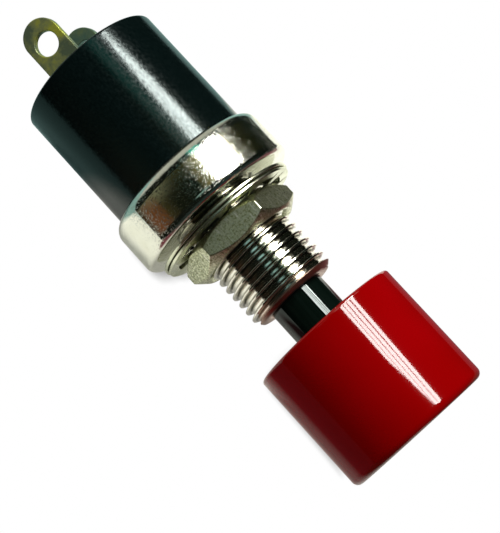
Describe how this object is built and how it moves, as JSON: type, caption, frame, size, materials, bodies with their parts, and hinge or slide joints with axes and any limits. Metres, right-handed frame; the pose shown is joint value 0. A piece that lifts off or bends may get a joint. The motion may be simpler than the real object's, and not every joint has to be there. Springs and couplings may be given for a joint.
{
  "type": "panel push button switch",
  "caption": "Momentary panel push button: red cylindrical cap on a sprung black plunger, threaded bushing with nut and washers, crimped metal collar, round black body, solder lugs.",
  "frame": {"origin": "on the switch's axis, at the front face of the collar where the panel seats", "axes": "+Z along the axis towards the button; the two lugs are flat plates facing -Y and +Y"},
  "size_m": [0.0188, 0.0188, 0.0568],
  "materials": {
    "phenolic": "satin black moulded phenolic with fine lengthwise streaks",
    "nickel_plate": "bright nickel plate on drawn steel",
    "thread_nickel": "bright nickel plate on turned brass",
    "washer_nickel": "nickel plate, slightly dulled",
    "nut_nickel": "nickel plate, bright chamfers and dull scratched flats",
    "fibre": "vulcanised fibre",
    "black_gloss": "glossy black plastic",
    "red_gloss": "glossy red plastic",
    "spring_steel": "drawn steel wire",
    "contact_brass": "bright brass",
    "lug_brass": "plated brass, tarnished olive green",
    "contact_silver": "silver plate"
  },
  "bodies": {
    "housing": {"switch_body": "phenolic", "collar": "nickel_plate", "bushing": "thread_nickel", "flange_gasket": "fibre", "flat_washer": "washer_nickel", "lock_washer": "washer_nickel", "hex_nut": "nut_nickel", "left_lug": "lug_brass", "right_lug": "lug_brass", "left_contact": "contact_silver", "right_contact": "contact_silver", "return_spring": "spring_steel"},
    "button": {"plunger": "black_gloss", "button_cap": "red_gloss", "contact_spring": "spring_steel", "contact_bridge": "contact_brass", "bridge_clip": "spring_steel"}
  },
  "joints": [
    {"name": "button_press", "type": "slide", "parent": "housing", "child": "button", "axis": [0, 0, -1], "range_m": [0, 0.0025], "stiffness_N_per_m": 550, "springref_m": -0.003, "deforming": ["return_spring"]}
  ]
}
